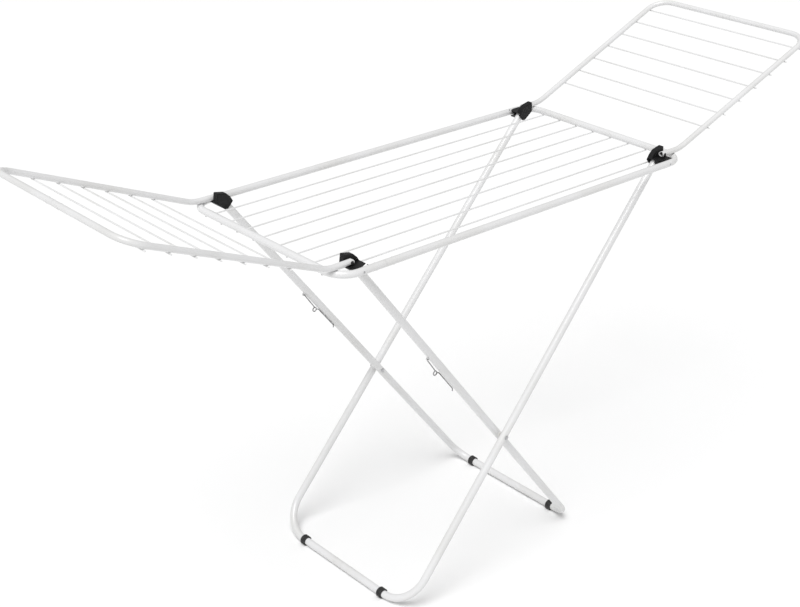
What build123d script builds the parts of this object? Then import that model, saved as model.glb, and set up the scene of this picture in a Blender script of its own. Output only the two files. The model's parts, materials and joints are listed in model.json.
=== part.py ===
"""Winged clothes drying rack: a steel tube frame with line wires, two folding wings and crossed legs.

Units are millimetres. +X runs along the rack, +Y towards its rear and +Z up. The origin is on the
floor under the middle of the rack. Every piece is written to parts/NAME.step in its open position.
"""
from build123d import *
from math import atan2, cos, degrees, hypot, radians, sin, sqrt, tan
import os

# ------------------------------------------------------------------ driving dimensions
# centre frame
frame_length = 1060.0          # between the centrelines of the two end rails
frame_width = 488.0            # between the centrelines of the two long rails
frame_height = 926.0           # floor to the centreline of the centre frame
frame_tube = 16.0              # outside diameter of the centre frame tube
frame_corner_radius = 48.0     # bend radius at the tube's centreline
frame_seam_inset = 115.0       # from the left end rail to where the tube's two ends meet

# wings
wing_reach = 476.0             # from the end rail to the wing's outer rail, along X
wing_rise_angle = 22.0         # slope of an open wing
wing_tube = 13.0               # outside diameter
wing_corner_radius = 46.0      # bend radius at the outer rail
wing_bend_radius = 100.0       # easy bend just outside the end rail
wing_bend_offset = 13.0        # from the end rail to that bend
wing_flare = 11.0              # how much wider each side of a wing is at its outer rail

# legs
leg_tube = 18.0                # outside diameter
leg_spread = 291.0             # from the middle of the rack to a base rail's centreline
leg_bend_radius_inner = 46.0   # where the inner leg meets its base rail
leg_bend_radius_outer = 80.0   # where the outer leg meets its base rail
inner_leg_taper = 19.5         # how far each side of the inner leg draws in from top to floor
cross_gap = 2.2                # between the two legs where they cross

# tube and line wire
tube_wall = 1.0
wire_diameter = 3.4
centre_wire_count = 8
centre_wire_room = 8.5         # from the outermost centre wire to the hinge blocks beside it
centre_wire_past = 3.2         # how far a centre wire runs past the end rail's centreline
wing_wire_count = 7
wing_wire_first = 40.0         # from the outer rail to the first wire, along the slope
wing_wire_last = 102.6         # from the last wire to the bend, along the slope
wire_overhang = 2.5            # how far a wing wire stands past its side tube

# hinge blocks
block_length = 45.0            # along X
block_inset = 56.5             # from the end rail to the middle of the block
block_cap = 8.7                # plastic above the wing's tube, at the plate's outboard corner
block_shoulder = 6.0           # outboard end of the lower slope, above the frame's centreline
block_inner_cheek = 4.0        # plastic between the leg's slot and the line wires
block_leg_cheek = 13.5         # plastic between the leg's slot and the rail
block_wing_lane = 9.5          # from the rail's face to the wing's tube
block_foot = 8.0               # length of the lowest face
block_foot_shift = 5.0         # middle of that face, inboard of the middle of the block
block_brow = 5.0               # fall of the long top edge, outboard to inboard
block_brow_end = 4.0           # inboard end of that edge, inboard of the middle of the block
block_cheek_fall = 10.0        # fall of the next edge
block_cheek_end = 15.0         # inboard end of the next edge, inboard of the middle of the block
block_chin = 3.0               # inboard end, above the frame's centreline
block_corner_lean = 2.0        # lean of the outboard end
block_edge_radius = 1.5
block_edge_chamfer = 1.0
wing_pivot_offset = 10.5       # wing pivot, outboard of the middle of the block
leg_pivot_offset = 8.5         # leg pivot, inboard of the middle of the block
leg_pivot_drop = 3.0           # leg pivot, below the frame's centreline
fixing_offset = 1.0            # rivet through the rail, outboard of the middle of the block
fixing_depth = 12.0            # how far that rivet runs into the block

# ring feet
foot_outer = 24.0              # outside diameter
foot_width = 15.0
foot_room = 1.0                # from a foot to the bend of its base rail
foot_stand = 11.4              # floor to the base rail's centreline
foot_chamfer = 1.0

# carry latches, bent from wire
latch_wire = 2.6
latch_start = 358.0            # from the inner leg's top pivot to a latch's own pivot, along the leg
latch_arm = 50.0               # from that pivot to the latch's finger ring
latch_length = 138.0           # from that pivot to the end of its straight tail
latch_tip = 4.0                # turned end of the tail, along and below
latch_ring = 10.0              # finger ring, across the middle of its wire
latch_ring_sag = 6.0           # middle of the ring, below the latch pivot
latch_arm_bend = 2.6           # bend radius between axle and arm
latch_tail_bend = 4.0          # bend radius along the tail
latch_pivot_room = 2.8         # from the leg's lower face to the latch pivot
latch_axle_end = 2.0           # how far the axle stands past its lug
lug_width = 6.4
lug_thickness = 3.0

# pins, rivets and ferrules
leg_pin = 6.0
wing_pin = 5.0
fixing_rivet = 4.0
cross_rivet_head = 11.0
wing_pin_head = 8.0
fixing_head = 5.5
head_rise = 0.225              # height of a rivet head, as a share of its width
head_rim = 0.35                # straight rim of a rivet head, as a share of its height
pin_bite = 8.0                 # how far a pin runs into the plastic behind the leg or beside the wing
pin_cover = 1.5                # plastic left over the inner leg's pin, towards the line wires
spacer_diameter = 13.0         # washer on the cross rivet, between the legs
frame_ferrule_length = 56.0
wing_ferrule_length = 44.0
leg_ferrule_length = 60.0

# ------------------------------------------------------------------ clearances
pivot_clearance = 0.05         # radial, hole over pin
hinge_gap = 0.5                # moving leg to block, each side
wing_slot_gap = 0.6            # moving wing to the plate beside it
stop_gap = 0.3                 # open wing to the end rail it rests on
socket_gap = 0.4               # top of the outer leg to its socket
head_gap = 0.4                 # rivet head to the leg that turns under it
pin_head_gap = 0.3             # wing pin's head to the wing tube that turns under it
head_seat = 0.2                # rivet head to the leg that it is fixed to
spacer_seat = 0.1              # washer to the inner leg
spacer_gap = 0.3               # washer to the outer leg, which turns past it
seam_gap = 0.4                 # between the two ends of a tube
ferrule_slip = 0.02            # radial, ferrule inside its tube
seat_slip = 0.02               # radial, block over the rail and foot over the base rail
nose_trim = 0.05               # taken off the radius of a rounded tube end
latch_rest_gap = 0.3           # latch's tail to the leg that it lies along
latch_side_gap = 0.8           # latch's arm to the side of its lug

# ------------------------------------------------------------------ derived places
half_length = frame_length / 2
half_width = frame_width / 2
frame_seam_x = frame_seam_inset - half_length
rail_face = half_width - frame_tube / 2

block_x = half_length - block_inset
leg_slot = leg_tube + 2 * hinge_gap
leg_top_lane = rail_face - block_leg_cheek - leg_slot / 2
wing_hinge_lane = rail_face - block_wing_lane - hinge_gap - wing_tube / 2
block_inner_lane = leg_top_lane - leg_slot / 2 - block_inner_cheek
block_outer_lane = half_width - frame_tube / 4
block_plate_lane = wing_hinge_lane - wing_tube / 2 - wing_slot_gap
fixing_x = block_x + fixing_offset

wing_level = frame_height + (frame_tube + wing_tube) / 2 + stop_gap
wing_pivot_x = block_x + wing_pivot_offset
wing_tip_x = half_length + wing_reach
wing_bend_x = half_length + wing_bend_offset
wing_tip_z = wing_level + (wing_tip_x - wing_bend_x) * tan(radians(wing_rise_angle))
wing_tip_lane = wing_hinge_lane + wing_flare
wing_wire_drop = (wing_tube + wire_diameter) / 2

leg_pivot_x = block_x - leg_pivot_offset
leg_pivot_z = frame_height - leg_pivot_drop
leg_slope = atan2(leg_pivot_z - foot_stand, leg_pivot_x + leg_spread)
leg_run = hypot(leg_pivot_x + leg_spread, leg_pivot_z - foot_stand)
cross_height = foot_stand + leg_spread * tan(leg_slope)
cross_share = leg_spread / (leg_spread + leg_pivot_x)
inner_foot_lane = leg_top_lane - inner_leg_taper
inner_cross_lane = inner_foot_lane + cross_share * (leg_top_lane - inner_foot_lane)
outer_cross_lane = inner_cross_lane + leg_tube + cross_gap
outer_foot_lane = (outer_cross_lane - cross_share * leg_top_lane) / (1 - cross_share)
foot_lane = min(inner_foot_lane - leg_bend_radius_inner,
                outer_foot_lane - leg_bend_radius_outer) - foot_width / 2 - foot_room

centre_wire_drop = (frame_tube + wire_diameter) / 2
centre_wire_span = 2 * (block_inner_lane - centre_wire_room)
latch_drop = leg_tube / 2 + latch_pivot_room
latch_offset = -(lug_thickness + latch_wire) / 2 - latch_side_gap

SIDES = {"left": -1, "right": 1}
FACES = {"front": -1, "rear": 1}

parts = {}


# ------------------------------------------------------------------ building blocks
def rod(start, end, diameter):
    """Solid round bar between two points."""
    start = Vector(*start)
    end = Vector(*end)
    plane = Plane(origin=(start + end) / 2, z_dir=end - start)
    return plane * Cylinder(diameter / 2, (end - start).length)


def pipe(points, radii, diameter):
    """Hollow tube that follows a polyline with rounded corners."""
    path = FilletPolyline(*points, radius=radii)
    ring = Circle(diameter / 2) - Circle(diameter / 2 - tube_wall)
    return sweep(Plane(origin=path @ 0, z_dir=path % 0) * ring, path)


def rounded_end(pivot, inward, diameter):
    """Cutter that rounds a tube's end about a pivot line along Y; inward points down the tube."""
    plane = Plane(origin=pivot, x_dir=(0, 1, 0), z_dir=-Vector(*inward))
    waste = plane * Pos(0, 0, diameter) * Box(3 * diameter, 3 * diameter, 2 * diameter)
    keep = hole(*pivot, diameter - 2 * nose_trim, 4 * diameter)
    return waste - keep


def ferrule(centre, direction, diameter, length):
    """Short round plug that joins the two ends of a tube from the inside."""
    centre = Vector(*centre)
    step = Vector(*direction).normalized() * (length / 2)
    return rod(centre - step, centre + step, diameter - 2 * tube_wall - 2 * ferrule_slip)


def domed_head(base, face, diameter):
    """Low domed rivet head that stands on a point and looks along +Y or -Y."""
    height = head_rise * diameter
    rim = head_rim * height
    ball = (diameter ** 2 / 4 + (height - rim) ** 2) / (2 * (height - rim))
    upright = (Align.CENTER, Align.CENTER, Align.MIN)
    dome = Pos(0, 0, height - ball) * Sphere(ball)
    dome &= Pos(0, 0, rim) * Cylinder(diameter / 2, height, align=upright)
    stem = Cylinder(diameter / 2, rim, align=upright)
    return Pos(*base) * Rot(-90 * face, 0, 0) * (stem + dome)


def rivet(x, z, inner, outer, diameter, head):
    """Pin along Y with a domed head at both ends; inner and outer are signed places along Y."""
    face = 1 if outer > inner else -1
    pin = rod((x, inner, z), (x, outer, z), diameter)
    pin += domed_head((x, outer, z), face, head)
    pin += domed_head((x, inner, z), -face, head)
    return pin


def hole(x, y, z, diameter, length):
    """Round cutter along Y, centred on a point."""
    return Pos(x, y, z) * Rot(90, 0, 0) * Cylinder(diameter / 2, length)


# ------------------------------------------------------------------ centre frame
def centre_frame():
    """Tube loop, its ferrule and the line wires welded under its end rails."""
    x = half_length
    y = half_width
    z = frame_height
    seam = seam_gap / 2
    points = [(frame_seam_x + seam, -y, z), (x, -y, z), (x, y, z),
              (-x, y, z), (-x, -y, z), (frame_seam_x - seam, -y, z)]
    loop = pipe(points, frame_corner_radius, frame_tube)
    for side in SIDES.values():
        for face in FACES.values():
            loop -= hole(side * fixing_x, face * y, z, fixing_rivet, 2 * frame_tube)
    parts["centre_frame_tube"] = loop
    parts["centre_frame_ferrule"] = ferrule(
        (frame_seam_x, -y, z), (1, 0, 0), frame_tube, frame_ferrule_length)
    pitch = centre_wire_span / (centre_wire_count - 1)
    for index in range(centre_wire_count):
        lane = index * pitch - centre_wire_span / 2
        end = x + centre_wire_past
        wire_z = z - centre_wire_drop
        wire = rod((-end, lane, wire_z), (end, lane, wire_z), wire_diameter)
        parts[f"centre_wire_{index + 1}"] = wire


# ------------------------------------------------------------------ hinge blocks
def block_body():
    """Moulded body, before its slots and holes are cut: a tall plate outline run out to the rail."""
    half = block_length / 2
    top = wing_level + wing_tube / 2 + block_cap
    low = leg_pivot_z - leg_tube / 2
    outline = Polyline(
        (block_x - half, frame_height + block_chin),
        (block_x - block_cheek_end, top - block_brow - block_cheek_fall),
        (block_x - block_brow_end, top - block_brow),
        (block_x + half - block_corner_lean, top),
        (block_x + half, frame_height + block_shoulder),
        (block_x - block_foot_shift + block_foot / 2, low),
        (block_x - block_foot_shift - block_foot / 2, low),
        close=True)
    body = extrude(Plane.XZ * make_face(outline), amount=block_inner_lane - block_outer_lane)
    body = Pos(0, block_inner_lane, 0) * body
    body = fillet(body.edges().filter_by(Axis.Y), block_edge_radius)
    return chamfer(body.faces().sort_by(Axis.Y)[0].edges(), block_edge_chamfer)


def hinge_block(side, face, leg_turns_here):
    """Block on the rail: the wing swings beside its tall plate, a leg sits in its lower slot."""
    body = block_body()
    wing_floor = wing_level - wing_tube / 2 - hinge_gap
    body -= Pos(block_x, block_plate_lane, wing_floor) * Box(
        2 * block_length, 2 * block_length, 2 * block_length,
        align=(Align.CENTER, Align.MIN, Align.MIN))
    leg_roof = leg_pivot_z + leg_tube / 2 + socket_gap
    leg_stop = leg_pivot_x + leg_tube / 2 + socket_gap
    body -= Pos(leg_stop, leg_top_lane, leg_roof) * Box(
        2 * block_length, leg_slot, 2 * block_length,
        align=(Align.MAX, Align.CENTER, Align.MAX))
    seat = frame_tube + 2 * seat_slip
    bend_x = half_length - frame_corner_radius
    bend_y = half_width - frame_corner_radius
    body -= rod((0, half_width, frame_height), (bend_x + 1, half_width, frame_height), seat)
    body -= Pos(bend_x, bend_y, frame_height) * Torus(frame_corner_radius, seat / 2)
    body -= hole(wing_pivot_x, block_plate_lane, wing_level, wing_pin, 2 * pin_bite)
    body -= hole(fixing_x, block_outer_lane, frame_height, fixing_rivet, 2 * fixing_depth)
    if leg_turns_here:
        low = block_inner_lane + pin_cover
        high = leg_top_lane + leg_slot / 2 + pin_bite
        body -= hole(leg_pivot_x, (low + high) / 2, leg_pivot_z, leg_pin, high - low)
    if face < 0:
        body = mirror(body, about=Plane.XZ)
    if side < 0:
        body = mirror(body, about=Plane.YZ)
    return body


def hinges():
    """Four hinge blocks with the pins that the wings and the inner leg turn on."""
    fixings = []
    for side_name, side in SIDES.items():
        for face_name, face in FACES.items():
            parts[f"hinge_block_{side_name}_{face_name}"] = hinge_block(side, face, side < 0)
            tip = face * (block_plate_lane - pin_bite)
            shoulder = face * (wing_hinge_lane + wing_tube / 2 + pin_head_gap)
            pin = rod((side * wing_pivot_x, tip, wing_level),
                      (side * wing_pivot_x, shoulder, wing_level), wing_pin)
            pin += domed_head((side * wing_pivot_x, shoulder, wing_level), face, wing_pin_head)
            parts[f"wing_pivot_pin_{side_name}_{face_name}"] = pin
            tail = face * (block_outer_lane - fixing_depth)
            head = face * (half_width + frame_tube / 2)
            fixing = rod((side * fixing_x, tail, frame_height),
                         (side * fixing_x, head, frame_height), fixing_rivet)
            fixing += domed_head((side * fixing_x, head, frame_height), face, fixing_head)
            fixings.append(fixing)
    parts["hinge_block_rivets"] = Compound(children=fixings)
    for face_name, face in FACES.items():
        inner = face * (block_inner_lane + pin_cover)
        outer = face * (leg_top_lane + leg_slot / 2 + pin_bite)
        parts[f"inner_leg_pivot_pin_{face_name}"] = rod(
            (-leg_pivot_x, inner, leg_pivot_z), (-leg_pivot_x, outer, leg_pivot_z), leg_pin)


# ------------------------------------------------------------------ wings
def wing_lane(x):
    """Half width of a wing's side tubes at a distance from the middle of the rack."""
    share = (x - wing_pivot_x) / (wing_tip_x - wing_pivot_x)
    return wing_hinge_lane + share * wing_flare


def wing(name, side):
    """One wing: bent side tubes joined by an outer rail, with line wires under the tubes."""
    bend_lane = wing_lane(wing_bend_x)
    rear = [(side * (wing_pivot_x - wing_tube / 2), wing_hinge_lane, wing_level),
            (side * wing_bend_x, bend_lane, wing_level),
            (side * wing_tip_x, wing_tip_lane, wing_tip_z),
            (side * wing_tip_x, seam_gap / 2, wing_tip_z)]
    for face_name, face in FACES.items():
        points = [(x, face * y, z) for x, y, z in rear]
        tube = pipe(points, [wing_bend_radius, wing_corner_radius], wing_tube)
        pivot = (side * wing_pivot_x, face * wing_hinge_lane, wing_level)
        tube -= rounded_end(pivot, (side, 0, 0), wing_tube)
        tube -= hole(*pivot, wing_pin + 2 * pivot_clearance, 2 * wing_tube)
        parts[f"{name}_wing_tube_{face_name}"] = tube
    parts[f"{name}_wing_ferrule"] = ferrule(
        (side * wing_tip_x, 0, wing_tip_z), (0, 1, 0), wing_tube, wing_ferrule_length)
    slope = radians(wing_rise_angle)
    run = (wing_tip_x - wing_bend_x) / cos(slope)
    pitch = (run - wing_wire_first - wing_wire_last) / (wing_wire_count - 1)
    for index in range(wing_wire_count):
        back = wing_wire_first + index * pitch
        x = side * (wing_tip_x - back * cos(slope) + wing_wire_drop * sin(slope))
        z = wing_tip_z - back * sin(slope) - wing_wire_drop * cos(slope)
        end = wing_tip_lane - (wing_tip_lane - bend_lane) * back / run
        end += wing_tube / 2 + wire_overhang
        parts[f"{name}_wing_wire_{index + 1}"] = rod((x, -end, z), (x, end, z), wire_diameter)


# ------------------------------------------------------------------ legs
def leg_half(top_side, face, foot_place, bend_radius):
    """Half of a U-shaped leg: its top lies towards top_side and its base rail on the other side."""
    top = Vector(top_side * leg_pivot_x, face * leg_top_lane, leg_pivot_z)
    foot = Vector(-top_side * leg_spread, face * foot_place, foot_stand)
    down = (foot - top).normalized()
    seam = (-top_side * leg_spread, face * seam_gap / 2, foot_stand)
    tube = pipe([tuple(top - down * (leg_tube / 2)), tuple(foot), seam], bend_radius, leg_tube)
    inward = (-top_side * cos(leg_slope), 0, -sin(leg_slope))
    return tube - rounded_end(tuple(top), inward, leg_tube)


def ring_foot(x, y):
    """Rubber ring round the base rail, with a narrow flat sole on the floor."""
    ring = hole(x, y, foot_stand, foot_outer, foot_width)
    ring = chamfer(ring.edges(), foot_chamfer)
    ring -= hole(x, y, foot_stand, leg_tube + 2 * seat_slip, 2 * foot_width)
    return ring & Pos(x, y, 0) * Box(
        2 * foot_outer, 2 * foot_width, 2 * foot_outer,
        align=(Align.CENTER, Align.CENTER, Align.MIN))


def crossing(face_name, face):
    """Rivet through both legs where they cross, and the washer between them."""
    inner_face = inner_cross_lane - leg_tube / 2 - head_seat
    outer_face = outer_cross_lane + leg_tube / 2 + head_gap
    parts[f"cross_rivet_{face_name}"] = rivet(
        0, cross_height, face * inner_face, face * outer_face, leg_pin, cross_rivet_head)
    low = inner_cross_lane + leg_tube / 2 + spacer_seat
    high = outer_cross_lane - leg_tube / 2 - spacer_gap
    spacer = rod((0, face * low, cross_height), (0, face * high, cross_height), spacer_diameter)
    spacer -= hole(0, face * (low + high) / 2, cross_height, leg_pin, leg_tube)
    parts[f"cross_spacer_{face_name}"] = spacer


def legs():
    """Inner and outer leg with their ferrules, ring feet, cross rivets and washers."""
    for face_name, face in FACES.items():
        inner = leg_half(-1, face, inner_foot_lane, leg_bend_radius_inner)
        outer = leg_half(1, face, outer_foot_lane, leg_bend_radius_outer)
        pivot = (-leg_pivot_x, face * leg_top_lane, leg_pivot_z)
        turning_hole = leg_pin + 2 * pivot_clearance
        inner -= hole(*pivot, turning_hole, 2 * leg_tube)
        inner -= hole(0, face * inner_cross_lane, cross_height, leg_pin, 2 * leg_tube)
        outer -= hole(0, face * (outer_cross_lane + leg_tube / 2), cross_height,
                      turning_hole, 3 * leg_tube)
        parts[f"inner_leg_tube_{face_name}"] = inner
        parts[f"outer_leg_tube_{face_name}"] = outer
        parts[f"inner_foot_{face_name}"] = ring_foot(leg_spread, face * foot_lane)
        parts[f"outer_foot_{face_name}"] = ring_foot(-leg_spread, face * foot_lane)
        crossing(face_name, face)
    parts["inner_leg_ferrule"] = ferrule(
        (leg_spread, 0, foot_stand), (0, 1, 0), leg_tube, leg_ferrule_length)
    parts["outer_leg_ferrule"] = ferrule(
        (-leg_spread, 0, foot_stand), (0, 1, 0), leg_tube, leg_ferrule_length)


# ------------------------------------------------------------------ carry latches
def leg_point(along, below, lane_offset, face):
    """Place on the inner leg: along it from its pivot, below its centreline, towards the outside."""
    lane = leg_top_lane - inner_leg_taper * along / leg_run + lane_offset
    x = -leg_pivot_x + along * cos(leg_slope) - below * sin(leg_slope)
    z = leg_pivot_z - along * sin(leg_slope) - below * cos(leg_slope)
    return (x, face * lane, z)


def latch_lug(face):
    """Welded eye under the inner leg that a latch's wire turns in."""
    centre = Vector(*leg_point(latch_start, latch_drop, 0, face))
    root = Vector(*leg_point(latch_start, leg_tube / 4, 0, face))
    along = (cos(leg_slope), 0, -sin(leg_slope))
    eye = Plane(origin=centre, x_dir=along, z_dir=(0, 1, 0)) * Cylinder(lug_width / 2, lug_thickness)
    neck = Plane(origin=(centre + root) / 2, x_dir=along, z_dir=(0, 1, 0)) * Box(
        lug_width, (centre - root).length, lug_thickness)
    lug = eye + neck
    lug -= rod(leg_point(latch_start - leg_tube, 0, 0, face),
               leg_point(latch_start + leg_tube, 0, 0, face), leg_tube)
    return lug - hole(*centre, latch_wire + 2 * pivot_clearance, 4 * lug_thickness)


def bent_wire(points, radius):
    """Solid latch wire that follows a polyline with rounded corners."""
    path = FilletPolyline(*points, radius=radius)
    return sweep(Plane(origin=path @ 0, z_dir=path % 0) * Circle(latch_wire / 2), path)


def latch(face):
    """Bent wire latch: axle in the lug, arm, finger ring and a long tail that lies along the leg."""
    rest = (leg_tube + latch_wire) / 2 + latch_rest_gap
    ring_radius = latch_ring / 2
    ring_along = latch_start + latch_arm + ring_radius
    ring_drop = latch_drop + latch_ring_sag
    joint = ring_radius / sqrt(2)
    arm = [leg_point(latch_start, latch_drop, lug_thickness / 2 + latch_axle_end, face),
           leg_point(latch_start, latch_drop, latch_offset, face),
           leg_point(ring_along - joint, ring_drop - joint, latch_offset, face)]
    tail = [leg_point(ring_along + joint, ring_drop - joint, latch_offset, face),
            leg_point(ring_along + latch_ring, rest, latch_offset, face),
            leg_point(latch_start + latch_length, rest, latch_offset, face),
            leg_point(latch_start + latch_length + latch_tip, rest + latch_tip, latch_offset, face)]
    centre = leg_point(ring_along, ring_drop, latch_offset, face)
    ring = Pos(*centre) * Rot(90, 0, 0) * Torus(ring_radius, latch_wire / 2)
    return ring + bent_wire(arm, latch_arm_bend) + bent_wire(tail, latch_tail_bend)


def latches():
    """Two wire latches under the inner leg and the lugs that carry them."""
    for face_name, face in FACES.items():
        parts[f"leg_latch_lug_{face_name}"] = latch_lug(face)
        parts[f"leg_latch_{face_name}"] = latch(face)


# ------------------------------------------------------------------ assembly
centre_frame()
hinges()
for wing_name, wing_side in SIDES.items():
    wing(wing_name, wing_side)
legs()
latches()

os.makedirs("parts", exist_ok=True)
for name, solid in parts.items():
    export_step(solid, f"parts/{name}.step")
print(f"{len(parts)} pieces, leg slope {degrees(leg_slope):.2f} degrees")
print(f"wing pivot x {wing_pivot_x:.2f} z {wing_level:.2f}")
print(f"leg pivot x {leg_pivot_x:.2f} z {leg_pivot_z:.2f}, crossing z {cross_height:.2f}")
print("latch pivot", leg_point(latch_start, latch_drop, 0, 1))
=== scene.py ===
"""Looks of a winged clothes drying rack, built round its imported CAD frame.

The rack is a loop of white coated steel tube strung with line wires, two raised wings and two
crossed legs. Tubes, hinge blocks, pins, feet and latches keep their CAD shapes and get their
finishes here. Line wires, weld beads, joint rings and moulded rims are made with Geometry Nodes.
All lengths are metres, and every piece is made where it belongs, with its object at the origin.
"""
import json
import logging
import math
from dataclasses import dataclass
from enum import Enum
from typing import Any, Iterable, Sequence

import bpy
from mathutils import Matrix, Vector


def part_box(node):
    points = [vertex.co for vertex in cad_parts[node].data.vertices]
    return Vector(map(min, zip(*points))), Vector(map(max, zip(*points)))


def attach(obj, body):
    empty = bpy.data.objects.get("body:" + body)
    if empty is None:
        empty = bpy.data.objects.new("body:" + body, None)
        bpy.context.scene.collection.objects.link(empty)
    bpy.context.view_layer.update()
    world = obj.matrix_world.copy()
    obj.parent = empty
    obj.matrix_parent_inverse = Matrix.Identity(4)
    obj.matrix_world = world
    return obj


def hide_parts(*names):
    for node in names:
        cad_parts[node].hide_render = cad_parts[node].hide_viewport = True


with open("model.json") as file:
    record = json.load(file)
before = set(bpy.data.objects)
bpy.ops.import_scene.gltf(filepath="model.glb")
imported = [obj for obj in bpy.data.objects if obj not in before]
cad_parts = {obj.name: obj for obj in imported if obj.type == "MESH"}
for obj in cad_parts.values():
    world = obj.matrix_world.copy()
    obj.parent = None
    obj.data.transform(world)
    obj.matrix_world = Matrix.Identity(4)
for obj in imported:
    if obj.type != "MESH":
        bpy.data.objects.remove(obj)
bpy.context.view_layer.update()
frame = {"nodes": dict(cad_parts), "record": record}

LOG = logging.getLogger("drying_rack")
RING_STEPS = 48
BEAD_SIDES = 10
BEAD_CORNER_POINTS = 5
WELD_FACETS = 3
SMALLEST_SWELLING = 0.0004
WIRE_END_EASE = (0.0, 0.03, 0.12, 0.28, 0.5, 0.75, 1.0)


class Side(Enum):
    """Which end of the rack a piece belongs to, with its sign along X."""

    LEFT = -1
    RIGHT = 1


class Face(Enum):
    """Which long side of the rack a piece belongs to, with its sign along Y."""

    FRONT = -1
    REAR = 1


class Slot(Enum):
    """Material slots of the record."""

    COATING = "white_coated_steel"
    BLOCK = "black_plastic"
    FOOT = "foot_rubber"
    SPRING = "spring_wire"
    ZINC = "zinc_steel"
    PIN = "black_steel"
    WASHER = "spacer_plastic"


# ------------------------------------------------------------------ node graphs
class Value:
    """One number travelling through a node tree; arithmetic on it adds Math nodes."""

    def __init__(self, graph: "Graph", socket: bpy.types.NodeSocket) -> None:
        """Wrap an output socket of a graph."""
        self.graph = graph
        self.socket = socket

    def maths(self, operation: str, *operands: Any) -> "Value":
        """Add one Math node.

        Args:
            operation: The Math node's operation.
            operands: Its inputs in order, each a number or a Value.

        Returns:
            The node's result.
        """
        node = self.graph.add("ShaderNodeMath", {"operation": operation}, dict(enumerate(operands)))
        return Value(self.graph, node.outputs[0])

    def __add__(self, other: Any) -> "Value":
        """Sum."""
        return self.maths("ADD", self, other)

    __radd__ = __add__

    def __sub__(self, other: Any) -> "Value":
        """Difference."""
        return self.maths("SUBTRACT", self, other)

    def __rsub__(self, other: Any) -> "Value":
        """Difference with the number first."""
        return self.maths("SUBTRACT", other, self)

    def __mul__(self, other: Any) -> "Value":
        """Product."""
        return self.maths("MULTIPLY", self, other)

    __rmul__ = __mul__

    def __truediv__(self, other: Any) -> "Value":
        """Quotient."""
        return self.maths("DIVIDE", self, other)

    def __pow__(self, other: Any) -> "Value":
        """Power."""
        return self.maths("POWER", self, other)

    def least(self, other: Any) -> "Value":
        """Smaller of two values."""
        return self.maths("MINIMUM", self, other)

    def most(self, other: Any) -> "Value":
        """Larger of two values."""
        return self.maths("MAXIMUM", self, other)

    def ramp(self, low: float, high: float) -> "Value":
        """Smooth step from 0 at low to 1 at high."""
        node = self.graph.add("ShaderNodeMapRange", {"interpolation_type": "SMOOTHSTEP"},
                              {"Value": self, "From Min": low, "From Max": high})
        return Value(self.graph, node.outputs[0])


class Graph:
    """A shader or geometry node tree that is built from typed nodes."""

    def __init__(self, tree: bpy.types.NodeTree) -> None:
        """Wrap a tree."""
        self.tree = tree

    def add(self, kind: str, settings: dict[str, Any] | None = None,
            inputs: dict[Any, Any] | None = None) -> bpy.types.Node:
        """Add one node.

        Args:
            kind: The node's type name.
            settings: Properties of the node, set before its sockets.
            inputs: Values, sockets or Values for its inputs, by name or by place.

        Returns:
            The node.
        """
        node = self.tree.nodes.new(kind)
        for name, setting in (settings or {}).items():
            setattr(node, name, setting)
        for name, given in (inputs or {}).items():
            socket = node.inputs[name]
            if isinstance(given, Value):
                self.tree.links.new(given.socket, socket)
            elif isinstance(given, bpy.types.NodeSocket):
                self.tree.links.new(given, socket)
            else:
                socket.default_value = given
        return node

    def value(self, kind: str, settings: dict[str, Any] | None = None,
              inputs: dict[Any, Any] | None = None, output: Any = 0) -> Value:
        """Add one node and wrap one of its outputs."""
        return Value(self, self.add(kind, settings, inputs).outputs[output])


# ------------------------------------------------------------------ finishes
class Paint:
    """Shader board of one material, with patterns read from Object coordinates."""

    def __init__(self, name: str) -> None:
        """Start an empty material with a Principled shader."""
        self.material = bpy.data.materials.new(name)
        self.material.use_nodes = True
        self.material.node_tree.nodes.clear()
        self.graph = Graph(self.material.node_tree)
        self.shader = self.graph.add("ShaderNodeBsdfPrincipled")
        self.graph.add("ShaderNodeOutputMaterial", None, {"Surface": self.shader.outputs[0]})
        self.place = self.graph.add("ShaderNodeTexCoord").outputs["Object"]

    def noise(self, scale: float, detail: float = 2.0, stretch: Sequence[float] = (1, 1, 1)) -> Value:
        """Soft noise from 0 to 1.

        Args:
            scale: Features per metre.
            detail: Octaves.
            stretch: Scale along each axis.

        Returns:
            The noise value.
        """
        place = self.graph.add("ShaderNodeMapping", {"vector_type": "POINT"},
                               {"Vector": self.place, "Scale": stretch}).outputs[0]
        return self.graph.value("ShaderNodeTexNoise", None,
                                {"Vector": place, "Scale": scale, "Detail": detail})

    def cells(self, scale: float) -> Value:
        """Random shade per cell, from 0 to 1, with a number of cells per metre."""
        node = self.graph.add("ShaderNodeTexVoronoi", {"feature": "F1"},
                              {"Vector": self.place, "Scale": scale})
        return self.graph.value("ShaderNodeSeparateColor", None, {"Color": node.outputs["Color"]})

    def between(self, mask: Value, low: Sequence[float], high: Sequence[float]) -> bpy.types.NodeSocket:
        """Blend of two colours by a mask."""
        node = self.graph.add("ShaderNodeMix", {"data_type": "RGBA"},
                              {0: mask, 6: (*low, 1.0), 7: (*high, 1.0)})
        return node.outputs[2]

    def bump(self, height: Value, depth: float, strength: float = 1.0,
             below: bpy.types.NodeSocket | None = None) -> bpy.types.NodeSocket:
        """Bump of a given depth in metres, laid over another bump if one is given."""
        inputs: dict[Any, Any] = {"Height": height, "Distance": depth, "Strength": strength}
        if below is not None:
            inputs["Normal"] = below
        return self.graph.add("ShaderNodeBump", None, inputs).outputs[0]

    def dress(self, **sockets: Any) -> bpy.types.Material:
        """Give the shader's sockets their values or links, by name with underscores for spaces."""
        for name, given in sockets.items():
            socket = self.shader.inputs[name.replace("_", " ")]
            if isinstance(given, Value):
                self.graph.tree.links.new(given.socket, socket)
            elif isinstance(given, bpy.types.NodeSocket):
                self.graph.tree.links.new(given, socket)
            else:
                socket.default_value = given
        return self.material


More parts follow.
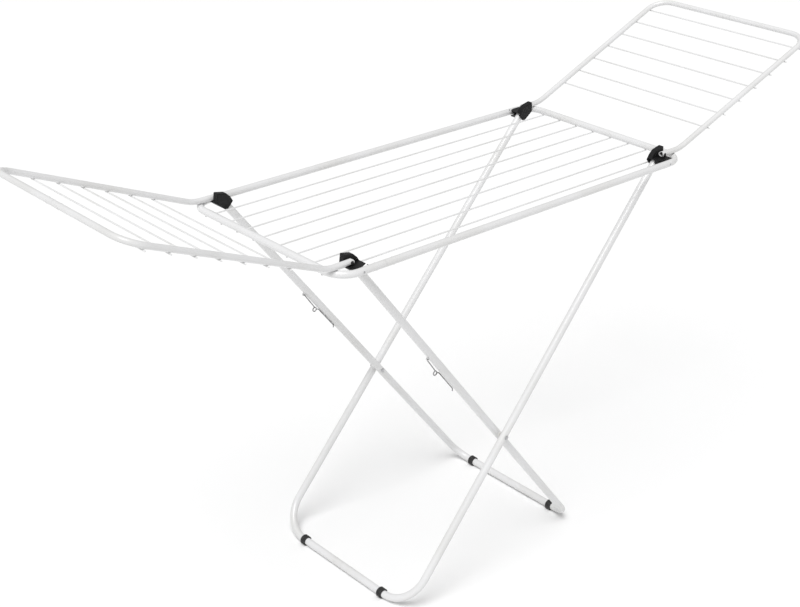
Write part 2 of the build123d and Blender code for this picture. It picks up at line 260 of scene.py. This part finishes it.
@dataclass(frozen=True)
class WhiteCoating:
    """Baked epoxy coating on tube and wire: smooth and bright, with a faint orange peel."""

    clean: tuple[float, float, float] = (0.74, 0.74, 0.745)
    dusty: tuple[float, float, float] = (0.69, 0.688, 0.68)
    rub: tuple[float, float, float] = (0.54, 0.54, 0.55)
    gloss: float = 0.30
    peel_per_metre: float = 520.0
    peel_depth: float = 0.00005
    grain_per_metre: float = 2600.0
    grain_depth: float = 0.000012

    def material(self) -> bpy.types.Material:
        """Build the material: drifting tone, sparse rub marks and two scales of relief."""
        paint = Paint("white_epoxy_coating")
        drift = paint.noise(9.0, 3.0).ramp(0.35, 0.75)
        rubs = paint.noise(140.0, 4.0, (1.0, 1.0, 2.5)).ramp(0.70, 0.80)
        rubs = rubs * paint.noise(11.0).ramp(0.5, 0.7)
        tone = paint.between(drift, self.clean, self.dusty)
        colour = paint.graph.add("ShaderNodeMix", {"data_type": "RGBA"},
                                 {0: rubs * 0.35, 6: tone, 7: (*self.rub, 1.0)}).outputs[2]
        peel = paint.noise(self.peel_per_metre, 2.0)
        grain = paint.noise(self.grain_per_metre, 2.0)
        relief = paint.bump(peel, self.peel_depth)
        relief = paint.bump(grain, self.grain_depth, 0.6, relief)
        return paint.dress(Base_Color=colour, Roughness=self.gloss + 0.06 * drift + 0.18 * rubs,
                           Normal=relief, Coat_Weight=0.35, Coat_Roughness=0.12, IOR=1.52)


@dataclass(frozen=True)
class BlackMoulding:
    """Moulded black plastic with a fine spark texture and a few pale scuffs."""

    deep: tuple[float, float, float] = (0.006, 0.006, 0.0065)
    worn: tuple[float, float, float] = (0.024, 0.024, 0.026)
    gloss: float = 0.25
    texture_per_metre: float = 2200.0
    texture_depth: float = 0.00006

    def material(self) -> bpy.types.Material:
        """Build the material: spark texture, flow shading and scuffs."""
        paint = Paint("black_moulded_plastic")
        flow = paint.noise(55.0, 2.0).ramp(0.35, 0.7)
        scuffs = paint.noise(420.0, 5.0, (1.0, 3.0, 1.0)).ramp(0.63, 0.75)
        colour = paint.between(scuffs * 0.5 + flow * 0.25, self.deep, self.worn)
        spark = paint.noise(self.texture_per_metre, 3.0)
        return paint.dress(Base_Color=colour, Roughness=0.46 + 0.12 * flow + 0.15 * scuffs,
                           Normal=paint.bump(spark, self.texture_depth), Specular_IOR_Level=self.gloss)


@dataclass(frozen=True)
class FootRubber:
    """Soft black rubber with a dusty bloom."""

    deep: tuple[float, float, float] = (0.014, 0.014, 0.014)
    bloom: tuple[float, float, float] = (0.07, 0.069, 0.066)
    pore_per_metre: float = 1500.0
    pore_depth: float = 0.00008

    def material(self) -> bpy.types.Material:
        """Build the material: pores and bloom."""
        paint = Paint("black_foot_rubber")
        bloom = paint.noise(160.0, 4.0).ramp(0.45, 0.8)
        colour = paint.between(bloom * 0.6, self.deep, self.bloom)
        pores = paint.noise(self.pore_per_metre, 3.0)
        return paint.dress(Base_Color=colour, Roughness=0.62 + 0.2 * bloom,
                           Normal=paint.bump(pores, self.pore_depth), IOR=1.5)


@dataclass(frozen=True)
class DrawnWire:
    """Bare spring wire, dark grey, with drawing marks and a light oil film."""

    bright: tuple[float, float, float] = (0.36, 0.36, 0.37)
    dark: tuple[float, float, float] = (0.17, 0.165, 0.16)
    mark_per_metre: float = 1800.0
    mark_depth: float = 0.00003

    def material(self) -> bpy.types.Material:
        """Build the material: streaks and darker patches."""
        paint = Paint("drawn_spring_wire")
        patches = paint.noise(120.0, 4.0).ramp(0.4, 0.7)
        marks = paint.noise(self.mark_per_metre, 3.0, (0.15, 1.0, 1.0))
        colour = paint.between(patches, self.bright, self.dark)
        return paint.dress(Base_Color=colour, Metallic=1.0 - 0.15 * patches,
                           Roughness=0.30 + 0.2 * patches + 0.08 * marks,
                           Normal=paint.bump(marks, self.mark_depth))


@dataclass(frozen=True)
class ZincPlate:
    """Dull zinc plate on pins, rivets and ferrules, with a faint crystal pattern."""

    light: tuple[float, float, float] = (0.62, 0.62, 0.63)
    dark: tuple[float, float, float] = (0.42, 0.42, 0.43)
    crystal_per_metre: float = 600.0
    scratch_per_metre: float = 2500.0
    scratch_depth: float = 0.00002

    def material(self) -> bpy.types.Material:
        """Build the material: crystals and fine scratches."""
        paint = Paint("zinc_plated_steel")
        crystals = paint.cells(self.crystal_per_metre)
        film = paint.noise(90.0, 3.0).ramp(0.4, 0.75)
        scratches = paint.noise(self.scratch_per_metre, 2.0, (1.0, 0.1, 1.0))
        colour = paint.between(0.4 * crystals + 0.5 * film, self.light, self.dark)
        return paint.dress(Base_Color=colour, Metallic=1.0 - 0.1 * film,
                           Roughness=0.32 + 0.15 * crystals + 0.1 * film,
                           Normal=paint.bump(scratches, self.scratch_depth))


@dataclass(frozen=True)
class BlackOxide:
    """Black oxide on the pivot pins, rubbed thin in places."""

    fresh: tuple[float, float, float] = (0.030, 0.030, 0.032)
    rubbed: tuple[float, float, float] = (0.11, 0.108, 0.105)
    rub_per_metre: float = 350.0
    grain_per_metre: float = 2600.0
    grain_depth: float = 0.00002

    def material(self) -> bpy.types.Material:
        """Build the material: oxide, rubbed patches and turning marks."""
        paint = Paint("black_oxide_steel")
        rubs = paint.noise(self.rub_per_metre, 4.0).ramp(0.5, 0.8)
        film = paint.noise(120.0, 2.0)
        grain = paint.noise(self.grain_per_metre, 2.0, (0.15, 1.0, 1.0))
        colour = paint.between(0.8 * rubs + 0.15 * film, self.fresh, self.rubbed)
        return paint.dress(Base_Color=colour, Metallic=0.55 + 0.3 * rubs, Roughness=0.5 - 0.12 * rubs,
                           Normal=paint.bump(grain, self.grain_depth))


@dataclass(frozen=True)
class NylonWasher:
    """Natural nylon between the legs."""

    fresh: tuple[float, float, float] = (0.76, 0.75, 0.72)
    grimed: tuple[float, float, float] = (0.50, 0.48, 0.44)
    haze_per_metre: float = 500.0
    haze_depth: float = 0.00003

    def material(self) -> bpy.types.Material:
        """Build the material: turned haze and grime."""
        paint = Paint("natural_nylon")
        grime = paint.noise(self.haze_per_metre, 4.0).ramp(0.5, 0.8)
        colour = paint.between(grime * 0.6, self.fresh, self.grimed)
        return paint.dress(Base_Color=colour, Roughness=0.45 + 0.2 * grime,
                           Normal=paint.bump(grime, self.haze_depth))


@dataclass(frozen=True)
class PaleFloor:
    """Plain pale studio floor."""

    colour: tuple[float, float, float] = (0.93, 0.93, 0.93)

    def material(self) -> bpy.types.Material:
        """Build the material: even and matt."""
        paint = Paint("pale_floor")
        haze = paint.noise(0.8, 1.0)
        return paint.dress(Base_Color=(*self.colour, 1.0), Roughness=0.75 + 0.05 * haze)


class Finishes:
    """Every finish of the rack, built once, by material slot."""

    MAKERS = {Slot.COATING: WhiteCoating, Slot.BLOCK: BlackMoulding, Slot.FOOT: FootRubber,
              Slot.SPRING: DrawnWire, Slot.ZINC: ZincPlate, Slot.PIN: BlackOxide,
              Slot.WASHER: NylonWasher}

    def __init__(self) -> None:
        """Build the materials."""
        self.materials = {slot: maker().material() for slot, maker in self.MAKERS.items()}

    def dress_cad(self, nodes: dict[str, bpy.types.Object], record: dict[str, Any]) -> None:
        """Give each CAD node the finish of its slot in the record.

        Args:
            nodes: CAD objects by node name.
            record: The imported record.
        """
        for part in record["subparts"]:
            piece = nodes[part["node"]]
            material = self.materials[Slot(part["material_slot"])]
            if not piece.data.materials:
                piece.data.materials.append(material)
            for place in range(len(piece.material_slots)):
                piece.material_slots[place].material = material
            LOG.info("%s keeps its CAD shape, finished in %s", piece.name, material.name)


# ------------------------------------------------------------------ geometry recipes
class Recipe:
    """A Geometry Nodes tree with named sizes that turns guide edges or points into one mesh."""

    def __init__(self, name: str, sizes: dict[str, float]) -> None:
        """Start a tree.

        Args:
            name: The tree's name.
            sizes: Its named inputs and their defaults.
        """
        self.tree = bpy.data.node_groups.new(name, "GeometryNodeTree")
        self.graph = Graph(self.tree)
        face = self.tree.interface
        face.new_socket("Guides", in_out="INPUT", socket_type="NodeSocketGeometry")
        self.identifiers = {}
        for size, default in sizes.items():
            socket = face.new_socket(size, in_out="INPUT", socket_type="NodeSocketFloat")
            socket.default_value = default
            self.identifiers[size] = socket.identifier
        finish = face.new_socket("Finish", in_out="INPUT", socket_type="NodeSocketMaterial")
        self.identifiers["Finish"] = finish.identifier
        face.new_socket("Mesh", in_out="OUTPUT", socket_type="NodeSocketGeometry")
        self.source = self.graph.add("NodeGroupInput")

    def size(self, name: str) -> Value:
        """Named input as a value."""
        return Value(self.graph, self.source.outputs[name])

    def close(self, mesh: bpy.types.NodeSocket) -> None:
        """End the tree: smooth faces, real geometry and the finish."""
        smooth = self.graph.add("GeometryNodeSetShadeSmooth", None, {"Geometry": mesh})
        real = self.graph.add("GeometryNodeRealizeInstances", None, {0: smooth.outputs[0]})
        dressed = self.graph.add("GeometryNodeSetMaterial", None,
                                 {"Geometry": real.outputs[0], "Material": self.source.outputs["Finish"]})
        self.graph.add("NodeGroupOutput", None, {"Mesh": dressed.outputs[0]})

    def make(self, name: str, guides: bpy.types.Mesh, finish: bpy.types.Material,
             sizes: dict[str, float]) -> bpy.types.Object:
        """Run the tree on guides and keep the result as a plain mesh.

        Args:
            name: Name of the piece.
            guides: Mesh of edges or points that the tree reads.
            finish: Material of the piece.
            sizes: Values of the named inputs.

        Returns:
            The piece, at the origin, with no modifier.
        """
        piece = bpy.data.objects.new(name, guides)
        bpy.context.scene.collection.objects.link(piece)
        modifier = piece.modifiers.new("recipe", "NODES")
        modifier.node_group = self.tree
        for size, number in sizes.items():
            modifier[self.identifiers[size]] = number
        modifier[self.identifiers["Finish"]] = finish
        depsgraph = bpy.context.evaluated_depsgraph_get()
        result = bpy.data.meshes.new_from_object(piece.evaluated_get(depsgraph), depsgraph=depsgraph)
        piece.modifiers.remove(modifier)
        piece.data = result
        result.name = name
        bpy.data.meshes.remove(guides)
        if not result.materials:
            result.materials.append(finish)
        LOG.info("%s: %d faces", name, len(result.polygons))
        return piece


class WireRecipe(Recipe):
    """Round wires along open guide edges, with their ends rounded by the coating."""

    def __init__(self) -> None:
        """Build the tree."""
        super().__init__("round_line_wires", {"Wire Diameter": 0.0034, "Sides": 14.0})
        graph = self.graph
        curve = graph.add("GeometryNodeMeshToCurve", None, {"Mesh": self.source.outputs["Guides"]})
        radius = self.size("Wire Diameter") / 2
        along = graph.value("GeometryNodeSplineParameter", output="Length")
        total = graph.value("GeometryNodeSplineLength", output="Length")
        inward = (along.least(total - along) / radius).least(1.0)
        rounding = (1.0 - (1.0 - inward) ** 2.0).most(SMALLEST_SWELLING) ** 0.5
        sides = self.size("Sides")
        ring = graph.add("GeometryNodeCurvePrimitiveCircle", None, {"Resolution": sides, "Radius": radius})
        sweep_along(self, curve.outputs[0], ring.outputs["Curve"], rounding)


class BeadRecipe(Recipe):
    """Thin round bead along closed guide loops, with their corners eased."""

    def __init__(self) -> None:
        """Build the tree."""
        super().__init__("bead_round_a_loop", {"Bead Diameter": 0.001, "Corner Radius": 0.001})
        graph = self.graph
        curve = graph.add("GeometryNodeMeshToCurve", None, {"Mesh": self.source.outputs["Guides"]})
        eased = graph.add("GeometryNodeFilletCurve", None,
                          {"Curve": curve.outputs[0], "Radius": self.size("Corner Radius")})
        set_choice(eased, "Mode", "mode", "Poly", "POLY")
        eased.inputs["Count"].default_value = BEAD_CORNER_POINTS
        ring = graph.add("GeometryNodeCurvePrimitiveCircle", None,
                         {"Resolution": BEAD_SIDES, "Radius": self.size("Bead Diameter") / 2})
        sweep_along(self, eased.outputs[0], ring.outputs["Curve"], None)


class WeldRecipe(Recipe):
    """Small melted bead at every guide point, tilted with its wing and slightly uneven."""

    def __init__(self) -> None:
        """Build the tree."""
        super().__init__("weld_beads", {"Along Wire": 0.0026, "Across Wire": 0.0026, "Height": 0.001,
                                        "Tilt": 0.0, "Unevenness": 0.12, "Seed": 7.0})
        graph = self.graph
        ball = graph.add("GeometryNodeMeshIcoSphere", None, {"Radius": 1.0, "Subdivisions": WELD_FACETS})
        spread = self.size("Unevenness")
        low = graph.value("ShaderNodeCombineXYZ", None, {axis: 1.0 - spread for axis in "XYZ"})
        high = graph.value("ShaderNodeCombineXYZ", None, {axis: 1.0 + spread for axis in "XYZ"})
        uneven = graph.add("FunctionNodeRandomValue", {"data_type": "FLOAT_VECTOR"},
                           {0: low, 1: high, "Seed": self.size("Seed")})
        size = graph.value("ShaderNodeCombineXYZ", None,
                           {"X": self.size("Along Wire"), "Y": self.size("Across Wire"),
                            "Z": self.size("Height")})
        scale = graph.value("ShaderNodeVectorMath", {"operation": "MULTIPLY"},
                            {0: size, 1: uneven.outputs[0]})
        tilt = graph.value("ShaderNodeCombineXYZ", None, {"Y": self.size("Tilt")})
        beads = graph.add("GeometryNodeInstanceOnPoints", None,
                          {"Points": self.source.outputs["Guides"], "Instance": ball.outputs["Mesh"],
                           "Rotation": tilt, "Scale": scale})
        self.close(beads.outputs[0])


def set_choice(node: bpy.types.Node, socket: str, setting: str, label: str, token: str) -> None:
    """Choose a node's mode, whether it is a socket or a property.

    Args:
        node: The node.
        socket: Name of the menu socket, where the node has one.
        setting: Name of the property, where it has none.
        label: The choice's label in the menu socket.
        token: The choice's token in the property.
    """
    if hasattr(node, setting):
        setattr(node, setting, token)
    elif socket in node.inputs:
        node.inputs[socket].default_value = label


def sweep_along(recipe: Recipe, path: bpy.types.NodeSocket, ring: bpy.types.NodeSocket,
                swelling: Value | None) -> None:
    """Sweep a ring along a path, scaled point by point, and close the tree with it.

    Args:
        recipe: The tree.
        path: The path's curve.
        ring: The section's curve.
        swelling: Scale of the section along the path, or None for an even one.
    """
    graph = recipe.graph
    sweep = graph.add("GeometryNodeCurveToMesh", None, {"Profile Curve": ring, "Fill Caps": True})
    if swelling is not None and "Scale" in sweep.inputs:
        graph.tree.links.new(swelling.socket, sweep.inputs["Scale"])
    elif swelling is not None:
        path = graph.add("GeometryNodeSetCurveRadius", None,
                         {"Curve": path, "Radius": swelling}).outputs[0]
    graph.tree.links.new(path, sweep.inputs["Curve"])
    recipe.close(sweep.outputs[0])


class Bench:
    """Recipes and finishes that the sub-assemblies share."""

    def __init__(self) -> None:
        """Build the finishes and the trees."""
        self.finishes = Finishes()
        self.wires = WireRecipe()
        self.beads = BeadRecipe()
        self.welds = WeldRecipe()

    def finish(self, slot: Slot) -> bpy.types.Material:
        """Material of a slot."""
        return self.finishes.materials[slot]

    def settle(self, piece: bpy.types.Object, body: str, replaced: Iterable[str] = ()) -> None:
        """Make a finished piece ride on its body and hide what it stands for.

        Args:
            piece: The finished piece.
            body: CAD body that it rides on.
            replaced: CAD nodes that it stands for.
        """
        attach(piece, body)
        names = list(replaced)
        if names:
            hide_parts(*names)
        LOG.info("%s rides on %s and replaces %d CAD pieces", piece.name, body, len(names))


def edge_mesh(name: str, runs: Iterable[Sequence[Vector]], closed: bool) -> bpy.types.Mesh:
    """Mesh of loose edges that run through points.

    Args:
        name: Name of the mesh.
        runs: One list of points for each run.
        closed: Whether each run returns to its start.

    Returns:
        The mesh.
    """
    points: list[Vector] = []
    edges: list[tuple[int, int]] = []
    for run in runs:
        first = len(points)
        points.extend(run)
        edges.extend((first + k, first + k + 1) for k in range(len(run) - 1))
        if closed:
            edges.append((first + len(run) - 1, first))
    mesh = bpy.data.meshes.new(name)
    mesh.from_pydata([tuple(point) for point in points], edges, [])
    return mesh


def wire_run(start: Vector, end: Vector, diameter: float) -> list[Vector]:
    """Points along a straight wire, close together where its ends are rounded."""
    step = (end - start).normalized()
    radius = diameter / 2
    ease = [radius * share for share in WIRE_END_EASE]
    head = [start + step * distance for distance in ease]
    tail = [end - step * distance for distance in reversed(ease)]
    return head + tail


def ring_run(centre: Vector, axis: Vector, radius: float, floor: float | None = None) -> list[Vector]:
    """Points round a circle, flattened where it would pass below a floor level."""
    across = axis.orthogonal().normalized()
    points = [centre + radius * (Matrix.Rotation(2 * math.pi * k / RING_STEPS, 3, axis) @ across)
              for k in range(RING_STEPS)]
    if floor is not None:
        points = [Vector((p.x, p.y, max(p.z, floor))) for p in points]
    return points


def middle(node: str) -> Vector:
    """Centre of a CAD node's box."""
    low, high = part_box(node)
    return (low + high) / 2


# ------------------------------------------------------------------ centre frame
@dataclass
class CentreFrame:
    """Tube loop with line wires welded under its end rails."""

    wire_count: int = 8
    wire_diameter: float = 0.0034
    weld_along: float = 0.0024
    weld_across: float = 0.0026
    weld_height: float = 0.0008
    weld_seed: float = 11.0
    ring_width: float = 0.0011
    ring_inset: float = 0.005

    def wires(self) -> list[str]:
        """Names of the line wires."""
        return [f"centre_wire_{k + 1}" for k in range(self.wire_count)]

    def line(self, node: str) -> tuple[Vector, Vector]:
        """Ends of one line wire's centreline."""
        low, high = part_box(node)
        lane, level = (low.y + high.y) / 2, (low.z + high.z) / 2
        return Vector((low.x, lane, level)), Vector((high.x, lane, level))

    def build(self, bench: Bench) -> None:
        """Make the line wires, their weld beads and the ring at the tube's joint."""
        lines = [self.line(name) for name in self.wires()]
        runs = [wire_run(start, end, self.wire_diameter) for start, end in lines]
        guides = edge_mesh("centre_line_guides", runs, False)
        wires = bench.wires.make("centre_line_wires", guides, bench.finish(Slot.COATING),
                                 {"Wire Diameter": self.wire_diameter})
        bench.settle(wires, "frame", self.wires())
        low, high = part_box("centre_frame_tube")
        tube = high.z - low.z
        rail_x = high.x - tube / 2
        top = lines[0][0].z + self.wire_diameter / 2
        spots = [Vector((sign * rail_x, a.y, top)) for a, _ in lines for sign in (-1, 1)]
        welds = bench.welds.make("centre_frame_welds", edge_mesh("weld_spots", [[s] for s in spots], False),
                                 bench.finish(Slot.COATING),
                                 {"Along Wire": self.weld_along, "Across Wire": self.weld_across,
                                  "Height": self.weld_height, "Seed": self.weld_seed})
        bench.settle(welds, "frame")
        low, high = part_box("centre_frame_ferrule")
        level = (low.z + high.z) / 2
        lane = (low.y + high.y) / 2
        rings = [ring_run(Vector((x, lane, level)), Vector((1, 0, 0)), tube / 2)
                 for x in (low.x + self.ring_inset, high.x - self.ring_inset)]
        joint = bench.beads.make("frame_joint_rings", edge_mesh("frame_rings", rings, True),
                                 bench.finish(Slot.COATING),
                                 {"Bead Diameter": self.ring_width, "Corner Radius": 0.0})
        bench.settle(joint, "frame")


# ------------------------------------------------------------------ wings
@dataclass
class Wing:
    """Bent tube loop with line wires welded under its sloping side tubes."""

    side: Side
    wire_count: int = 7
    wire_diameter: float = 0.0034
    wire_overhang: float = 0.0025
    weld_along: float = 0.0030
    weld_across: float = 0.0032
    weld_height: float = 0.0010
    weld_seed: float = 20.0
    ring_width: float = 0.0010
    ring_inset: float = 0.002

    @property
    def name(self) -> str:
        """Name of the wing's body and the start of its nodes' names."""
        return f"{self.side.name.lower()}_wing"

    def wires(self) -> list[str]:
        """Names of the line wires, from the outer rail inwards."""
        return [f"{self.name}_wire_{k + 1}" for k in range(self.wire_count)]

    def build(self, bench: Bench) -> None:
        """Make the line wires, their weld beads and the rings at the outer rail's joint."""
        radius = self.wire_diameter / 2
        ends = []
        for node in self.wires():
            centre = middle(node)
            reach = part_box(node)[1].y
            ends.append((Vector((centre.x, -reach, centre.z)), Vector((centre.x, reach, centre.z))))
        runs = [wire_run(start, end, self.wire_diameter) for start, end in ends]
        guides = edge_mesh(f"{self.name}_guides", runs, False)
        wires = bench.wires.make(f"{self.name}_line_wires", guides, bench.finish(Slot.COATING),
                                 {"Wire Diameter": self.wire_diameter})
        bench.settle(wires, self.name, self.wires())
        first, last = ends[0][1], ends[-1][1]
        slope = math.atan2(first.z - last.z, abs(first.x - last.x))
        low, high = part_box(f"{self.name}_ferrule")
        rail = (low + high) / 2
        tube_low, tube_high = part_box(f"{self.name}_tube_rear")
        outboard = tube_high.x if self.side is Side.RIGHT else tube_low.x
        tube = 2 * min(tube_high.z - rail.z, abs(outboard - rail.x))
        up = Vector((-self.side.value * math.sin(slope), 0, math.cos(slope)))
        spots = []
        for start, end in ends:
            lane = end.y - self.wire_overhang - tube / 2
            spots += [Vector((end.x, sign * lane, end.z)) + radius * up for sign in (-1, 1)]
        welds = bench.welds.make(f"{self.name}_welds", edge_mesh("weld_spots", [[s] for s in spots], False),
                                 bench.finish(Slot.COATING),
                                 {"Along Wire": self.weld_across, "Across Wire": self.weld_along,
                                  "Height": self.weld_height, "Tilt": -self.side.value * slope,
                                  "Seed": self.weld_seed + self.side.value})
        bench.settle(welds, self.name)
        rings = [ring_run(Vector((rail.x, y, rail.z)), Vector((0, 1, 0)), tube / 2)
                 for y in (low.y + self.ring_inset, high.y - self.ring_inset)]
        joint = bench.beads.make(f"{self.name}_joint_rings", edge_mesh("wing_rings", rings, True),
                                 bench.finish(Slot.COATING),
                                 {"Bead Diameter": self.ring_width, "Corner Radius": 0.0})
        bench.settle(joint, self.name)


# ------------------------------------------------------------------ legs and feet
@dataclass
class Leg:
    """U-shaped leg on two ring feet."""

    body: str
    lip_diameter: float = 0.0014
    lip_inset: float = 0.0016
    lip_sink: float = 0.15
    ring_width: float = 0.0011
    ring_inset: float = 0.005

    def build(self, bench: Bench) -> None:
        """Make the moulded lips of the ring feet and the rings at the base rail's joint."""
        start = self.body.split("_")[0]
        loops = []
        for face in Face:
            low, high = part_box(f"{start}_foot_{face.name.lower()}")
            radius = (high.x - low.x) / 2
            centre = Vector(((low.x + high.x) / 2, 0, high.z - radius))
            for y in (low.y + self.lip_inset, (low.y + high.y) / 2, high.y - self.lip_inset):
                loops.append(ring_run(Vector((centre.x, y, centre.z)), Vector((0, 1, 0)),
                                      radius - self.lip_sink * self.lip_diameter, self.lip_diameter / 2))
        lips = bench.beads.make(f"{start}_foot_lips", edge_mesh("foot_loops", loops, True),
                                bench.finish(Slot.FOOT),
                                {"Bead Diameter": self.lip_diameter, "Corner Radius": 0.0})
        bench.settle(lips, self.body)
        low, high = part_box(f"{start}_leg_ferrule")
        rail = (low + high) / 2
        floor_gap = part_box(f"{start}_leg_tube_rear")[0].z
        rings = [ring_run(Vector((rail.x, y, rail.z)), Vector((0, 1, 0)), rail.z - floor_gap)
                 for y in (low.y + self.ring_inset, high.y - self.ring_inset)]
        joint = bench.beads.make(f"{start}_leg_joint_rings", edge_mesh("leg_rings", rings, True),
                                 bench.finish(Slot.COATING),
                                 {"Bead Diameter": self.ring_width, "Corner Radius": 0.0})
        bench.settle(joint, self.body)


# ------------------------------------------------------------------ hinge blocks
@dataclass
class HingeBlocks:
    """Moulded rims round the cheeks of the four hinge blocks."""

    rim_diameter: float = 0.0011
    rim_inset: float = 0.0022
    corner_radius: float = 0.0016
    profile: tuple[tuple[float, float], ...] = (
        (0.0, 0.357), (0.167, 0.643), (0.411, 0.881), (0.956, 1.0), (1.0, 0.429), (0.478, 0.0), (0.30, 0.0))

    def outline(self, low: Vector, high: Vector, side: Side, face: Face) -> list[Vector]:
        """Seven-sided rim on the face that looks towards the line wires.

        Args:
            low: Lower corner of the block's box.
            high: Upper corner of the block's box.
            side: The rack's end that the block stands at.
            face: The long rail that it is fixed to.

        Returns:
            The rim's corners, from the inboard end over the top.
        """
        inset = self.rim_inset
        length, height = high.x - low.x - 2 * inset, high.z - low.z - 2 * inset
        lane = low.y if face is Face.REAR else high.y
        points = []
        for share, rise in self.profile:
            along = share if side is Side.RIGHT else 1.0 - share
            points.append(Vector((low.x + inset + along * length, lane, low.z + inset + rise * height)))
        return points

    def build(self, bench: Bench) -> None:
        """Make the rims of all four blocks as one piece."""
        loops = []
        for side in Side:
            for face in Face:
                low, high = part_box(f"hinge_block_{side.name.lower()}_{face.name.lower()}")
                loops.append(self.outline(low, high, side, face))
        rims = bench.beads.make("hinge_block_rims", edge_mesh("block_loops", loops, True),
                                bench.finish(Slot.BLOCK),
                                {"Bead Diameter": self.rim_diameter, "Corner Radius": self.corner_radius})
        bench.settle(rims, "frame")


# ------------------------------------------------------------------ studio
@dataclass
class Studio:
    """Pale floor, soft light and a long lens from the front left."""

    azimuth: float = -40.3605
    elevation: float = 25.8352
    roll: float = 0.5484
    distance: float = 3.6137
    aim_height: float = 0.5
    aim_right: float = -0.2939
    aim_up: float = 0.1084
    sensor: float = 36.0
    lens_length: float = 68.72985
    shift_right: float = 0.106625
    shift_up: float = -0.0004375
    floor_size: float = 400.0
    sky: float = 0.46
    key_strength: float = 2.35
    key_softness: float = 38.0
    key_lean: float = 28.0
    key_azimuth: float = -62.0

    def camera(self) -> None:
        """Place the camera at the rack's usual viewing angle."""
        azimuth, elevation, roll = (math.radians(a) for a in (self.azimuth, self.elevation, self.roll))
        back = Vector((math.sin(azimuth) * math.cos(elevation), -math.cos(azimuth) * math.cos(elevation),
                       math.sin(elevation)))
        flat = Vector((math.cos(azimuth), math.sin(azimuth), 0.0))
        up = back.cross(flat)
        right = flat * math.cos(roll) + up * math.sin(roll)
        up = up * math.cos(roll) - flat * math.sin(roll)
        place = Vector((0, 0, self.aim_height)) + right * self.aim_right + up * self.aim_up
        place += back * self.distance
        lens = bpy.data.cameras.new("studio_camera")
        lens.sensor_width = self.sensor
        lens.lens = self.lens_length
        lens.shift_x = self.shift_right
        lens.shift_y = self.shift_up
        camera = bpy.data.objects.new("studio_camera", lens)
        turn = Matrix((right, up, back)).transposed().to_4x4()
        camera.matrix_world = Matrix.Translation(place) @ turn
        bpy.context.scene.collection.objects.link(camera)
        bpy.context.scene.camera = camera

    def floor(self) -> None:
        """Lay the pale floor."""
        half = self.floor_size / 2
        mesh = bpy.data.meshes.new("studio_floor")
        mesh.from_pydata([(-half, -half, 0), (half, -half, 0), (half, half, 0), (-half, half, 0)], [],
                         [(0, 1, 2, 3)])
        mesh.materials.append(PaleFloor().material())
        floor = bpy.data.objects.new("studio_floor", mesh)
        bpy.context.scene.collection.objects.link(floor)

    def lights(self) -> None:
        """Even white surroundings and one broad soft light from above the left end."""
        world = bpy.data.worlds.new("white_surroundings")
        bpy.context.scene.world = world
        world.use_nodes = True
        background = world.node_tree.nodes["Background"]
        background.inputs["Color"].default_value = (1.0, 1.0, 1.0, 1.0)
        background.inputs["Strength"].default_value = self.sky
        lamp = bpy.data.lights.new("broad_soft_light", "SUN")
        lamp.energy = self.key_strength
        lamp.angle = math.radians(self.key_softness)
        light = bpy.data.objects.new("broad_soft_light", lamp)
        light.rotation_euler = (math.radians(self.key_lean), 0.0, math.radians(self.key_azimuth))
        bpy.context.scene.collection.objects.link(light)

    def build(self) -> None:
        """Set up the whole studio."""
        self.camera()
        self.floor()
        self.lights()
        bpy.context.scene.view_settings.view_transform = "Standard"
        LOG.info("studio ready")


def main() -> None:
    """Build the rack's looks, sub-assembly by sub-assembly."""
    logging.basicConfig(level=logging.INFO, format="%(name)s: %(message)s")
    Studio().build()
    bench = Bench()
    bench.finishes.dress_cad(frame["nodes"], frame["record"])
    CentreFrame().build(bench)
    for side in Side:
        Wing(side).build(bench)
    for body in ("inner_leg", "outer_leg"):
        Leg(body).build(bench)
    HingeBlocks().build(bench)


if __name__ == "__main__":
    main()
